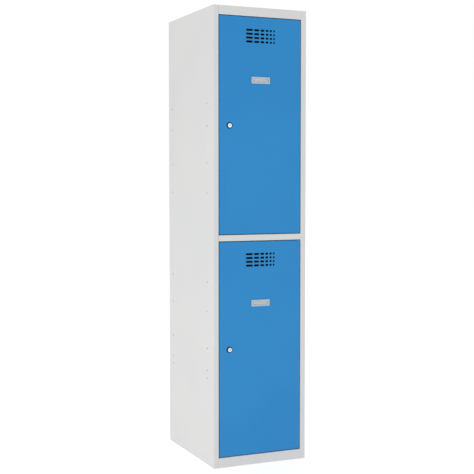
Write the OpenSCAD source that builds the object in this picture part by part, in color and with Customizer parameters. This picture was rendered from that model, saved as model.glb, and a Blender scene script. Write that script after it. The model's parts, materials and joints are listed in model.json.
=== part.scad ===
// School locker: a tall steel cabinet with two doors, one above the other.
// Folded sheet-metal carcass, concealed pin hinges on the right, a cam lock and a
// card holder on each door, a coat rail with sliding hooks in each compartment.
// X runs from left to right, the front faces -Y, Z runs up from the floor.

/* [Overall] */
// Width of the locker, side to side
body_w = 400; // [300:10:600]
// Depth of the locker, front to back
body_d = 500; // [400:10:600]
// Height of the locker above the floor
body_h = 1800; // [1500:10:2100]
// Height of the bottom edge of the sheet above the floor
floor_gap = 2; // [1:0.5:6]

/* [Sheet metal] */
// Thickness of the steel sheet
sheet = 1; // [0.8:0.1:1.2]
// Inside radius of the bends
bend_in = 1; // [0.5:0.1:1.5]

/* [Front frame] */
// Width of each front post
post_w = 22; // [20:1:40]
// Depth from the front plane to the door-stop lip
post_d = 22; // [21:0.5:30]
// Width of the door-stop lip
lip_w = 12; // [8:1:16]
// Height of the top rail
top_rail_h = 35; // [30:1:70]
// Height of the rail between the doors
divider_h = 24; // [24:1:50]
// Height of the bottom rail above the floor
bottom_rail_h = 40; // [40:1:80]
// Width of the fold at the back of each side panel
back_fold = 15; // [10:1:25]

/* [Shelves] */
// Depth of the folded edges of the top panel, the shelf and the floor panel
tray_drop = 25; // [20:1:26]
// Diameter of the holes in the side panels and of the rivets that fit them
side_hole_d = 6; // [4:0.5:7]
// Distance from the front of the locker to the front row of holes
side_hole_front = 67; // [50:1:100]
// Distance from the back of the locker to the back row of holes
side_hole_back = 47; // [30:1:80]
// Most compartments that the side panels are punched for
punched_for = 5; // [2:1:5]
// Height of the extra pair of holes for a low shelf
low_row_z = 346; // [200:1:360]
// Diameter of the two wall-fixing holes in the back panel
wall_hole_d = 8; // [6:0.5:12]
// Distance from the wall-fixing holes to the sides
wall_hole_in = 80; // [50:1:120]
// Distance from the wall-fixing holes to the top
wall_hole_drop = 60; // [40:1:120]

/* [Doors] */
// Gap between a door and the frame around it
door_gap = 3; // [2:0.1:3]
// Thickness of a door
door_t = 18; // [16:0.5:18.5]
// Width of the folded lip round the back of a door
door_lip = 12; // [8:1:20]
// Distance from the hinge edge of the door to the hinge pin's centre
hinge_in = 9; // [8.5:0.1:9.5]
// Distance from the door's face to the hinge pin's centre
hinge_back = 6.5; // [6:0.1:7]
// Diameter of the hinge pins
pin_d = 6; // [4:0.1:6.5]
// Length of a hinge pin inside the door
pin_inside = 22; // [19:1:35]
// Outside diameter of the nylon hinge bushes
bush_d = 8; // [7.4:0.1:8.4]
// Diameter of the flange on a hinge bush
bush_flange_d = 11; // [9:0.1:12]
// Thickness of the flange on a hinge bush
bush_flange_t = 1.6; // [1:0.1:1.6]
// Length of a hinge bush behind its flange
bush_l = 6; // [4:0.5:8]
// Width of the stiffener inside a door
stiffener_w = 40; // [25:1:60]
// Distance from the door's middle to the middle of the stiffener
stiffener_x = 102; // [100:1:104]
// Depth of the stiffener
stiffener_d = 12; // [8:0.5:14]

/* [Vents] */
// Rows of vent slots
vent_rows = 4; // [1:1:6]
// Slots in a row
vent_count = 6; // [2:1:6]
// Height of a vent slot
vent_h = 8; // [5:0.5:9]
// Distance from one row of slots to the next
vent_pitch = 15; // [12:1:20]
// Length of the longest slot, on the lock side
vent_first = 28.5; // [22:0.5:34]
// Length of each slot as a share of the one before it
vent_shrink = 0.75; // [0.7:0.01:0.8]
// Gap between two slots of a row
vent_gap = 6; // [6:0.5:9]
// Distance from the top of the opening to the middle of the first row
vent_drop = 53; // [35:1:80]

/* [Card holder] */
// Width of the card holder
label_w = 79; // [60:1:100]
// Height of the card holder
label_h = 26; // [24:1:40]
// How far the card holder stands out from the door
label_t = 3; // [2.6:0.1:5]
// Width of the border round the window
label_border = 6; // [5:0.5:6]
// Distance from the top of the opening to the middle of the card holder
label_drop = 247; // [200:1:300]
// Thickness of the card
card_t = 0.4; // [0.3:0.1:0.6]
// Thickness of the clear cover over the card
cover_t = 0.8; // [0.6:0.1:0.9]

/* [Lock] */
// Distance from the free edge of the door to the lock's centre
lock_in = 42; // [34:1:60]
// Diameter of the black ring round the lock
bezel_d = 24.5; // [22:0.5:32]
// Thickness of the black ring
bezel_t = 1.5; // [1:0.1:3]
// Diameter of the lock's head
head_d = 17; // [17:0.5:20]
// Thickness of the lock's head
head_t = 3.5; // [2:0.1:5]
// Diameter of the lock's barrel
barrel_d = 16; // [14:0.5:16.5]
// Diameter of the turning plug
plug_d = 11; // [9:0.1:12]
// Width across the flats of the lock nut
lock_nut_af = 22; // [19:0.5:24]
// Thickness of the lock nut
lock_nut_t = 4; // [3:0.5:6]
// Width of the lock cam
cam_w = 16; // [12:1:20]
// Thickness of the lock cam
cam_t = 2.5; // [1.5:0.1:3]

/* [Coat rail] */
// Outside diameter of the coat rail
rail_d = 16; // [12:1:25]
// Wall of the coat rail
rail_wall = 1.2; // [1:0.1:2]
// Distance from the top of the compartment to the coat rail's centre
rail_drop = 110; // [60:5:300]
// Diameter of the wire of a coat hook
wire_d = 5; // [4:0.5:8]
// Inside radius of the bend of a coat hook
hook_r = 11; // [8:1:20]
// Length of the straight shank of a coat hook
shank_l = 24; // [15:1:60]
// Distance from the middle of the compartment to each coat hook
hook_x = 50; // [30:5:100]

/* [Feet] */
// Diameter of the pad of a levelling foot
pad_d = 32; // [24:1:40]
// Thickness of the pad
pad_t = 5; // [4:0.5:8]
// Diameter of the threaded stud
stud_d = 8; // [6:1:10]
// Length of the stud above its hexagon
stud_l = 24; // [22:1:25]
// Distance from the sides of the locker to the feet
foot_in_x = 45; // [40:1:70]
// Distance from the front and the back of the locker to the feet
foot_in_y = 50; // [46:1:90]
// Width of the two channels that carry the feet
channel_w = 44; // [36:1:46]

/* [Hidden] */
$fn = 48;

// Colours of the finishes
light_grey = [0.84, 0.84, 0.83];
door_blue = [0.23, 0.54, 0.78];
zinc = [0.72, 0.73, 0.75];
chrome = [0.9, 0.9, 0.92];
black = [0.09, 0.09, 0.1];
nylon = [0.93, 0.92, 0.88];
holder_grey = [0.75, 0.74, 0.73];
paper = [0.86, 0.84, 0.79];
clear = [0.9, 0.93, 0.95, 0.5];

// Clearances: a turning pin in its bush, a sliding piece, a hole round its fastener
running = 0.05;
sliding = 0.1;
slack = 0.1;
// How far a cutting tool runs past the piece that it cuts
past = 1;

// Planes of the carcass
mid = sheet / 2;
bend_mid = bend_in + mid;
front_y = -body_d / 2;
back_y = body_d / 2;
side_x = body_w / 2;
inner_x = side_x - sheet;
open_x = side_x - post_w;
lip_y = front_y + post_d;
back_panel_y = back_y - 2 * sheet;

// The two openings are equal; each is named by the height of its bottom edge
opening_h = (body_h - top_rail_h - divider_h - bottom_rail_h) / 2;
lower_z = bottom_rail_h;
upper_z = lower_z + opening_h + divider_h;
divider_mid_z = upper_z - divider_h / 2;

// Doors and hinge axis
door_x = open_x - door_gap;
door_back_y = front_y + door_t;
hinge_x = door_x - hinge_in;
hinge_y = front_y + hinge_back;
pin_outside = door_gap + bush_l - 1;
bracket_w = 19;
bracket_t = 3;
bracket_drop = 13;
bracket_leg = 22;
collar_d = pin_d + 4;
collar_t = 2;
// Distance from the ends of a door to the ends of its stiffener
stiffener_end = 30;
stiffener_flange = 10;

// Vents and card holder
vent_corner = 1.8;
vent_lengths = [for (i = [0:vent_count - 1]) vent_first * pow(vent_shrink, i)];
function total(v, n) = n == 0 ? 0 : v[n - 1] + total(v, n - 1);
vent_w = total(vent_lengths, vent_count) + vent_gap * (vent_count - 1);
label_corner = 2;
pocket_d = card_t + cover_t + 3 * sliding;
pocket_edge = label_border - 2.5;
peg_d = 2.4;
peg_l = 2.5;
peg_x = label_w / 2 - 11;
peg_z = label_h / 2 - pocket_edge / 2;

// Lock: the cam turns just behind the door-stop lip, and its tip stops short of the post
lock_x = -door_x + lock_in;
lock_front_y = front_y - bezel_t - head_t;
cam_y = lip_y + sheet + 1;
barrel_end_y = cam_y - 0.5;
cam_l = lock_in + door_gap - 2;
drive = plug_d * 0.62;
cam_screw_d = 4;
cam_screw_head_d = 9;
cam_screw_head_t = 2.5;
cam_screw_l = 10;
key_w = 1.8;
key_h = 6.5;
key_deep = 18;

// Door bumpers on the lock-side lip
bumper_d = 8;
bumper_stem_d = 4;
bumper_t = post_d - door_t - 0.5;
bumper_end = 60;

// Coat rail brackets and hooks
bracket_flange_t = 2;
bracket_flange_d = rail_d + 16;
bracket_socket_d = rail_d + 6;
bracket_socket_l = 12;
hook_slack = 0.6;
hook_ring_wall = 3;
hook_ring_l = 8;
hook_ball_d = wire_d + 3;

// Feet
hex_d = stud_d + 7;
hex_h = 7;
nut_flange_t = 1.2;
nut_d = stud_d + 3;
nut_flange_d = stud_d + 7;
nut_l = 13;
channel_z = pad_t + hex_h + 0.5 + nut_flange_t;
foot_x = side_x - foot_in_x;
foot_y = back_y - foot_in_y;

// A push rivet: its head lies inside the divider's edge, its end is flush outside
rivet_head_d = side_hole_d * 1.8;
rivet_head_t = 1.2;
rivet_core_d = side_hole_d * 0.5;

// ---- Sheet-metal helpers ----

function unit(v) = v / norm(v);

// Extrusions of an outline along each axis
module along_z(z0, z1) {
    translate([0, 0, z0]) linear_extrude(z1 - z0) children();
}
module along_y(y0, y1) {
    translate([0, y1, 0]) rotate([90, 0, 0]) linear_extrude(y1 - y0) children();
}
module along_x(x0, x1) {
    translate([x0, 0, 0]) rotate([90, 0, 90]) linear_extrude(x1 - x0) children();
}

// One flat of a folded strip, given by the two ends of its middle line
module flat(a, b) {
    run = b - a;
    size = [abs(run.x) + (run.x == 0 ? sheet : 0), abs(run.y) + (run.y == 0 ? sheet : 0)];
    translate((a + b) / 2) square(size, center = true);
}

// One bend of a folded strip, round the inside of a corner of its middle line
module bend(corner, to_last, to_next) {
    side = to_last + to_next;
    r = bend_mid + mid;
    translate(corner + bend_mid * side) intersection() {
        difference() {
            circle(r);
            circle(r - sheet);
        }
        translate([side.x < 0 ? 0 : -r, side.y < 0 ? 0 : -r]) square(r);
    }
}

// A strip of sheet seen on edge, folded at each inner point of its middle line
module strip(line) {
    last = len(line) - 1;
    for (i = [0:last - 1]) {
        ahead = unit(line[i + 1] - line[i]);
        start = line[i] + (i > 0 ? bend_mid : 0) * ahead;
        end = line[i + 1] - (i < last - 1 ? bend_mid : 0) * ahead;
        flat(start, end);
    }
    for (i = [1:last - 1]) bend(line[i], unit(line[i - 1] - line[i]), unit(line[i + 1] - line[i]));
}

// A rectangle with rounded corners, its lower left corner at the origin
module rounded(w, h, r) {
    translate([r, 0]) square([w - 2 * r, h]);
    translate([0, r]) square([w, h - 2 * r]);
    for (x = [r, w - r], y = [r, h - r]) translate([x, y]) circle(r);
}

// A round bar along Y, and one along X, from one plane to another
module bar_y(d, y0, y1) {
    translate([0, y1, 0]) rotate([90, 0, 0]) cylinder(d = d, h = y1 - y0);
}
module bar_x(d, x0, x1) {
    translate([x0, 0, 0]) rotate([0, 90, 0]) cylinder(d = d, h = x1 - x0);
}

// A box given by two opposite corners
module box(low, high) {
    translate(low) cube(high - low);
}

// ---- Carcass ----

// Heights of the dividers when the locker is split into n equal compartments
function divider_rows(n) = [for (k = [1:n - 1])
    bottom_rail_h - divider_h / 2 + k * (body_h - top_rail_h - bottom_rail_h + divider_h) / n];

// Holes through one side panel: two columns, one row for each place a divider can take
module side_holes() {
    for (y = [front_y + side_hole_front, back_y - side_hole_back]) {
        for (n = [2:punched_for], z = divider_rows(n)) side_hole(y, z);
        side_hole(y, low_row_z);
    }
}
module side_hole(y, z) {
    translate([0, y, z]) bar_x(side_hole_d, -side_x - past, -inner_x + past);
}

// Side panel: door-stop lip, front post, side and back fold are one folded sheet
module side_panel() {
    difference() {
        along_z(floor_gap, body_h) strip([
            [-open_x + lip_w, lip_y + mid],
            [-open_x - mid, lip_y + mid],
            [-open_x - mid, front_y + mid],
            [-side_x + mid, front_y + mid],
            [-side_x + mid, back_y - mid],
            [-side_x + back_fold, back_y - mid]
        ]);
        // The top panel lies on this ledge
        box([-inner_x, front_y + sheet, body_h - 2 * sheet],
            [-open_x + lip_w + past, back_y - sheet, body_h + past]);
        side_holes();
    }
}
module left_side_panel() {
    color(light_grey) difference() {
        side_panel();
        for (z = bumper_heights()) translate([-open_x + lip_w / 2, 0, z])
            bar_y(bumper_stem_d, lip_y - past, lip_y + sheet + past);
    }
}
module right_side_panel() {
    color(light_grey) mirror([1, 0, 0]) side_panel();
}

module back_panel() {
    half_w = inner_x - bend_in;
    color(light_grey) difference() {
        box([-half_w, back_panel_y, floor_gap], [half_w, back_panel_y + sheet, body_h - 2 * sheet]);
        for (x = [-1, 1]) translate([x * (side_x - wall_hole_in), 0, body_h - wall_hole_drop])
            bar_y(wall_hole_d, back_panel_y - past, back_y + past);
    }
}

// A sheet between the side panels with its side and back edges turned down
module tray(top) {
    along_y(lip_y + sheet, back_panel_y) strip([
        [-inner_x + mid, top - tray_drop],
        [-inner_x + mid, top - mid],
        [inner_x - mid, top - mid],
        [inner_x - mid, top - tray_drop]
    ]);
    box([-inner_x + 2 * sheet, back_panel_y - sheet, top - tray_drop],
        [inner_x - 2 * sheet, back_panel_y, top - mid]);
}

// The same sheet with a tongue in front that lies under the flange of a rail
module tongued_tray(top) {
    tongue_x = hinge_x - bush_flange_d;
    tray(top);
    box([-tongue_x, front_y + sheet + bend_in, top - sheet], [tongue_x, lip_y + 2 * sheet, top]);
}

module top_panel() {
    top = body_h - sheet;
    color(light_grey) {
        tray(top);
        box([-inner_x, front_y + sheet + bend_in, top - sheet], [inner_x, lip_y + 2 * sheet, top]);
        box([-inner_x + bend_mid, lip_y + sheet, top - sheet], [inner_x - bend_mid, back_y - sheet, top]);
    }
}

// Ends of a rail: its flanges are cut back so that the posts' lips pass behind them
module rail_ends() {
    for (way = [0, 1]) mirror([way, 0, 0])
        box([open_x - lip_w, lip_y - bend_in, 0], [open_x + past, lip_y + sheet + past, body_h]);
}

// Hole in a rail for a hinge bush
module bush_hole(z) {
    translate([hinge_x, hinge_y, z - 2 * sheet]) cylinder(d = bush_d + 2 * slack, h = 4 * sheet);
}

module top_front_rail() {
    bottom = upper_z + opening_h;
    color(light_grey) difference() {
        along_x(-open_x, open_x) strip([
            [lip_y - bend_in, body_h - mid],
            [front_y + mid, body_h - mid],
            [front_y + mid, bottom + mid],
            [lip_y + mid, bottom + mid],
            [lip_y + mid, bottom - lip_w]
        ]);
        rail_ends();
        bush_hole(bottom);
    }
}

module divider_rail() {
    bottom = upper_z - divider_h;
    color(light_grey) difference() {
        along_x(-open_x, open_x) strip([
            [lip_y + mid, upper_z + lip_w],
            [lip_y + mid, upper_z - mid],
            [front_y + mid, upper_z - mid],
            [front_y + mid, bottom + mid],
            [lip_y + mid, bottom + mid],
            [lip_y + mid, bottom - lip_w]
        ]);
        rail_ends();
        bush_hole(upper_z);
        bush_hole(bottom);
    }
}

module bottom_front_rail() {
    color(light_grey) difference() {
        along_x(-open_x, open_x) strip([
            [lip_y + mid, lower_z + lip_w],
            [lip_y + mid, lower_z - mid],
            [front_y + mid, lower_z - mid],
            [front_y + mid, floor_gap]
        ]);
        rail_ends();
        bush_hole(lower_z);
    }
}

module divider_shelf() {
    color(light_grey) difference() {
        tongued_tray(upper_z - sheet);
        rivet_places() bar_x(side_hole_d, -past, past);
    }
}

// Places of the divider's rivets, at the inside of its turned-down edges, -X pointing out
module rivet_places() {
    for (way = [0, 1], y = [front_y + side_hole_front, back_y - side_hole_back])
        mirror([way, 0, 0]) translate([-inner_x + sheet, y, divider_mid_z]) children();
}

// Push rivets with a hollow core, two through each edge of the divider into the side panel
module divider_rivets() {
    color(light_grey) rivet_places() difference() {
        union() {
            bar_x(side_hole_d, -2 * sheet, 0);
            bar_x(rivet_head_d, 0, rivet_head_t);
        }
        bar_x(rivet_core_d, -2 * sheet - past, rivet_head_t / 2);
    }
}

module base_panel() {
    color(light_grey) tongued_tray(lower_z - sheet);
}

// ---- Feet ----

// Channel under the floor panel that carries two feet
module base_channel(y) {
    top = lower_z - 2 * sheet;
    half_w = channel_w / 2 - mid;
    half_l = inner_x - sheet - bend_in;
    difference() {
        along_x(-half_l, half_l) strip([
            [y - half_w, top],
            [y - half_w, channel_z + mid],
            [y + half_w, channel_z + mid],
            [y + half_w, top]
        ]);
        for (x = [-foot_x, foot_x]) translate([x, y, channel_z - past])
            cylinder(d = nut_d, h = sheet + 2 * past);
    }
}
module front_base_channel() {
    color(light_grey) base_channel(-foot_y);
}
module rear_base_channel() {
    color(light_grey) base_channel(foot_y);
}

module foot_rivet_nuts() {
    color(zinc) for (x = [-foot_x, foot_x], y = [-foot_y, foot_y]) translate([x, y, channel_z])
        difference() {
            union() {
                translate([0, 0, -nut_flange_t]) cylinder(d = nut_flange_d, h = nut_flange_t);
                cylinder(d = nut_d, h = nut_l);
            }
            translate([0, 0, -nut_flange_t - past])
                cylinder(d = stud_d + 2 * running, h = nut_l + nut_flange_t + 2 * past);
        }
}

// Levelling foot: plastic pad, hexagon for the spanner and stud
module foot(x, y) {
    chamfer = 1;
    translate([x, y, 0]) {
        color(black) {
            cylinder(d = pad_d, h = pad_t - chamfer);
            translate([0, 0, pad_t - chamfer]) cylinder(d1 = pad_d, d2 = pad_d - 2 * chamfer, h = chamfer);
        }
        color(zinc) {
            translate([0, 0, pad_t]) cylinder(d = hex_d, h = hex_h, $fn = 6);
            translate([0, 0, pad_t + hex_h]) cylinder(d = stud_d, h = stud_l);
        }
    }
}
module front_left_foot() foot(-foot_x, -foot_y);
module front_right_foot() foot(foot_x, -foot_y);
module rear_left_foot() foot(-foot_x, foot_y);
module rear_right_foot() foot(foot_x, foot_y);

// ---- Hinge bushes and bumpers on the frame ----

// A bush with its flange towards the door; way is 1 when the bush points up
module hinge_bush(z, way) {
    translate([hinge_x, hinge_y, z]) mirror([0, 0, way > 0 ? 0 : 1]) difference() {
        union() {
            translate([0, 0, -bush_flange_t]) cylinder(d = bush_flange_d, h = bush_flange_t);
            cylinder(d = bush_d, h = bush_l);
        }
        translate([0, 0, -bush_flange_t - past])
            cylinder(d = pin_d + 2 * running, h = bush_l + bush_flange_t + 2 * past);
    }
}
module hinge_bushes() {
    color(nylon) for (z = [lower_z, upper_z]) {
        hinge_bush(z + opening_h, 1);
        hinge_bush(z, -1);
    }
}

function bumper_heights() = [for (z = [lower_z, upper_z], h = [bumper_end, opening_h - bumper_end]) z + h];

// Rubber bumpers pushed through the lip on the lock side
module door_bumpers() {
    button_t = 1.5;
    color(black) for (z = bumper_heights()) translate([-open_x + lip_w / 2, 0, z]) {
        bar_y(bumper_d, lip_y - bumper_t, lip_y);
        bar_y(bumper_stem_d, lip_y - past, lip_y + sheet + past / 2);
        bar_y(bumper_stem_d + 2, lip_y + sheet, lip_y + sheet + button_t);
    }
}

// ---- Doors; z is the bottom of the opening that the door closes ----

function door_low(z) = z + door_gap;
function door_high(z) = z + opening_h - door_gap;
function lock_z(z) = z + opening_h / 2;
function label_z(z) = z + opening_h - label_drop;

// The vent slots of a door, in rows that get shorter away from the lock
module vents(z) {
    for (row = [0:vent_rows - 1], i = [0:vent_count - 1]) {
        x = -vent_w / 2 + total(vent_lengths, i) + i * vent_gap;
        middle = z + opening_h - vent_drop - row * vent_pitch;
        translate([x, 0, middle - vent_h / 2]) along_y(front_y - past, front_y + sheet + past)
            rounded(vent_lengths[i], vent_h, vent_corner);
    }
}

module peg_places(z) {
    for (x = [-peg_x, peg_x], dz = [-peg_z, peg_z]) translate([x, 0, label_z(z) + dz]) children();
}

module door_panel(z) {
    low = door_low(z);
    high = door_high(z);
    color(door_blue) difference() {
        union() {
            along_z(low, high) strip([
                [-door_x + door_lip, door_back_y - mid],
                [-door_x + mid, door_back_y - mid],
                [-door_x + mid, front_y + mid],
                [door_x - mid, front_y + mid],
                [door_x - mid, door_back_y - mid],
                [door_x - door_lip, door_back_y - mid]
            ]);
            for (end = [low, high - sheet])
                box([-door_x + bend_mid, front_y + mid, end], [door_x - bend_mid, door_back_y, end + sheet]);
            for (end = [low, high - door_lip])
                box([-door_x + bend_mid, door_back_y - sheet, end],
                    [door_x - bend_mid, door_back_y, end + door_lip]);
        }
        vents(z);
        peg_places(z) bar_y(peg_d, front_y - past, front_y + sheet + past);
        translate([lock_x, 0, lock_z(z)]) bar_y(barrel_d, front_y - past, front_y + sheet + past);
        translate([hinge_x, hinge_y, low - past]) cylinder(d = pin_d, h = high - low + 2 * past);
    }
}

module door_stiffener(z) {
    near_y = front_y + sheet + mid;
    half_w = stiffener_w / 2;
    color(door_blue) along_z(door_low(z) + stiffener_end, door_high(z) - stiffener_end) strip([
        [stiffener_x - half_w - stiffener_flange, near_y],
        [stiffener_x - half_w, near_y],
        [stiffener_x - half_w, near_y + stiffener_d],
        [stiffener_x + half_w, near_y + stiffener_d],
        [stiffener_x + half_w, near_y],
        [stiffener_x + half_w + stiffener_flange, near_y]
    ]);
}

// Puts what is drawn for a door's top end, from its edge downwards, at both ends
module both_ends(z) {
    translate([0, 0, door_high(z)]) children();
    translate([0, 0, door_low(z)]) mirror([0, 0, 1]) children();
}

// Steel angles welded inside the hinge-side corners of a door; each steadies a pin
module hinge_brackets(z) {
    inside_y = front_y + sheet;
    far_x = door_x - sheet - bend_in;
    near_x = far_x - bracket_w;
    color(zinc) both_ends(z) difference() {
        union() {
            box([near_x, inside_y, -bracket_drop - bracket_t], [far_x, door_back_y - 2 * sheet, -bracket_drop]);
            box([near_x, inside_y, -bracket_drop - bracket_leg], [far_x, inside_y + bracket_t / 2, -bracket_drop]);
        }
        translate([hinge_x, hinge_y, -bracket_drop - bracket_t - past])
            cylinder(d = pin_d, h = bracket_t + 2 * past);
    }
}

// Hinge pin drawn for a top end: it stands out of the door into the bush
module hinge_pin() {
    tip = 0.8;
    color(chrome) translate([hinge_x, hinge_y, 0]) {
        translate([0, 0, -pin_inside]) cylinder(d = pin_d, h = pin_inside + pin_outside - tip);
        translate([0, 0, pin_outside - tip]) cylinder(d1 = pin_d, d2 = pin_d - 2 * tip, h = tip);
        translate([0, 0, -sheet - collar_t]) cylinder(d = collar_d, h = collar_t);
    }
}
module top_pin(z) translate([0, 0, door_high(z)]) hinge_pin();
module bottom_pin(z) translate([0, 0, door_low(z)]) mirror([0, 0, 1]) hinge_pin();

// ---- Card holder ----

// Frame with a window; its pocket for card and cover is open on the hinge side
module card_holder(z) {
    front = front_y - label_t;
    pocket_h = label_h - 2 * pocket_edge;
    color(holder_grey) {
        translate([0, 0, label_z(z)]) difference() {
            translate([-label_w / 2, 0, -label_h / 2])
                along_y(front, front_y) rounded(label_w, label_h, label_corner);
            box([-label_w / 2 + pocket_edge, front_y - pocket_d, -pocket_h / 2],
                [label_w / 2 + past, front_y + past, pocket_h / 2]);
            translate([-label_w / 2 + label_border, 0, -label_h / 2 + label_border])
                along_y(front - past, front_y)
                    rounded(label_w - 2 * label_border, label_h - 2 * label_border, label_corner / 2);
        }
        peg_places(z) bar_y(peg_d, front_y - past / 2, front_y + peg_l);
    }
}

// A sheet that fills the pocket, from one depth to another
module pocket_sheet(z, near, far) {
    half_h = label_h / 2 - pocket_edge - sliding;
    translate([0, 0, label_z(z)])
        box([-label_w / 2 + pocket_edge + sliding, front_y - far, -half_h],
            [label_w / 2 - pocket_edge / 2, front_y - near, half_h]);
}
module card_cover(z) {
    color(clear) pocket_sheet(z, pocket_d - cover_t, pocket_d);
}
module card(z) {
    color(paper) pocket_sheet(z, sliding, sliding + card_t);
}

// ---- Lock ----

module at_lock(z) {
    translate([lock_x, 0, lock_z(z)]) children();
}

module lock_bezel(z) {
    edge = bezel_t / 2;
    color(black) at_lock(z) difference() {
        union() {
            bar_y(bezel_d, front_y - bezel_t + edge, front_y);
            translate([0, front_y - bezel_t + edge, 0]) rotate([90, 0, 0])
                cylinder(d1 = bezel_d, d2 = bezel_d - 2 * edge, h = edge);
        }
        bar_y(barrel_d, front_y - bezel_t - past, front_y + past);
    }
}

// Head, barrel and the bore that the plug turns in
module lock_body(z) {
    edge = head_t / 4;
    color(chrome) at_lock(z) difference() {
        union() {
            bar_y(head_d, lock_front_y + edge, front_y - bezel_t);
            translate([0, lock_front_y + edge, 0]) rotate([90, 0, 0])
                cylinder(d1 = head_d, d2 = head_d - 2 * edge, h = edge);
            bar_y(barrel_d, front_y - bezel_t - edge, barrel_end_y);
        }
        bar_y(plug_d + 2 * running, lock_front_y - past, barrel_end_y + past);
    }
}

module lock_nut(z) {
    color(zinc) at_lock(z) difference() {
        translate([0, front_y + sheet + lock_nut_t, 0]) rotate([90, 0, 0])
            cylinder(d = lock_nut_af / cos(30), h = lock_nut_t, $fn = 6);
        bar_y(barrel_d, front_y, front_y + sheet + lock_nut_t + past);
    }
}

// Turning plug with its keyway in front and a square behind that drives the cam
module lock_plug(z) {
    half = drive / 2;
    color(chrome) at_lock(z) difference() {
        union() {
            bar_y(plug_d, lock_front_y - 0.3, barrel_end_y);
            box([-half, barrel_end_y - past, -half], [half, cam_y + cam_t, half]);
        }
        box([-key_w / 2, lock_front_y - past, -key_h / 2], [key_w / 2, lock_front_y + key_deep, key_h / 2]);
        bar_y(cam_screw_d, cam_y + cam_t - cam_screw_l, cam_y + cam_t + past);
    }
}

// Cam, hanging straight down while the door is unlocked
module lock_cam(z) {
    half = drive / 2;
    color(zinc) at_lock(z) difference() {
        translate([-cam_w / 2, 0, -cam_l])
            along_y(cam_y, cam_y + cam_t) rounded(cam_w, cam_l + cam_w / 2, cam_w / 2 - 0.5);
        box([-half, cam_y - past, -half], [half, cam_y + cam_t + past, half]);
    }
}

module cam_screw(z) {
    back = cam_y + cam_t;
    color(zinc) at_lock(z) {
        bar_y(cam_screw_d, back - cam_screw_l + 1, back + past);
        bar_y(cam_screw_head_d, back, back + cam_screw_head_t);
    }
}

// ---- Coat rail, its brackets and the hooks that slide on it ----

function rail_z(z) = z + opening_h - rail_drop;

module coat_rail(z) {
    end = inner_x - bracket_flange_t;
    color(zinc) translate([0, 0, rail_z(z)]) difference() {
        bar_x(rail_d, -end, end);
        bar_x(rail_d - 2 * rail_wall, -end - past, end + past);
    }
}

// Steel sockets welded to the insides of the side panels
module rail_brackets(z) {
    color(light_grey) translate([0, 0, rail_z(z)]) for (way = [0, 1]) mirror([way, 0, 0]) difference() {
        union() {
            bar_x(bracket_flange_d, -inner_x, -inner_x + bracket_flange_t);
            bar_x(bracket_socket_d, -inner_x, -inner_x + bracket_socket_l);
        }
        bar_x(rail_d, -inner_x + bracket_flange_t, -inner_x + bracket_socket_l + past);
    }
}

// Hook: a ring round the rail, a straight shank and a bend that opens to the front
module hook(x, z) {
    ring_d = rail_d + 2 * (hook_slack + hook_ring_wall);
    bend_r = hook_r + wire_d / 2;
    low = ring_d / 2 + shank_l;
    color(chrome) translate([x, 0, rail_z(z)]) {
        difference() {
            bar_x(ring_d, -hook_ring_l / 2, hook_ring_l / 2);
            bar_x(rail_d + 2 * hook_slack, -hook_ring_l, hook_ring_l);
        }
        translate([0, 0, -low]) cylinder(d = wire_d, h = shank_l + hook_ring_wall / 2);
        translate([0, -bend_r, -low]) rotate([90, 0, 90]) rotate_extrude(angle = -180)
            translate([bend_r, 0]) circle(d = wire_d);
        translate([0, -2 * bend_r, -low]) sphere(d = hook_ball_d);
    }
}

// ---- The pieces of the upper and the lower door and compartment ----

module upper_door_panel() door_panel(upper_z);
module upper_door_stiffener() door_stiffener(upper_z);
module upper_hinge_brackets() hinge_brackets(upper_z);
module upper_door_top_pin() top_pin(upper_z);
module upper_door_bottom_pin() bottom_pin(upper_z);
module upper_card_holder() card_holder(upper_z);
module upper_card_cover() card_cover(upper_z);
module upper_card() card(upper_z);
module upper_lock_bezel() lock_bezel(upper_z);
module upper_lock_body() lock_body(upper_z);
module upper_lock_nut() lock_nut(upper_z);
module upper_lock_plug() lock_plug(upper_z);
module upper_lock_cam() lock_cam(upper_z);
module upper_cam_screw() cam_screw(upper_z);
module upper_coat_rail() coat_rail(upper_z);
module upper_rail_brackets() rail_brackets(upper_z);
module upper_left_hook() hook(-hook_x, upper_z);
module upper_right_hook() hook(hook_x, upper_z);

module lower_door_panel() door_panel(lower_z);
module lower_door_stiffener() door_stiffener(lower_z);
module lower_hinge_brackets() hinge_brackets(lower_z);
module lower_door_top_pin() top_pin(lower_z);
module lower_door_bottom_pin() bottom_pin(lower_z);
module lower_card_holder() card_holder(lower_z);
module lower_card_cover() card_cover(lower_z);
module lower_card() card(lower_z);
module lower_lock_bezel() lock_bezel(lower_z);
module lower_lock_body() lock_body(lower_z);
module lower_lock_nut() lock_nut(lower_z);
module lower_lock_plug() lock_plug(lower_z);
module lower_lock_cam() lock_cam(lower_z);
module lower_cam_screw() cam_screw(lower_z);
module lower_coat_rail() coat_rail(lower_z);
module lower_rail_brackets() rail_brackets(lower_z);
module lower_left_hook() hook(-hook_x, lower_z);
module lower_right_hook() hook(hook_x, lower_z);

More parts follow.
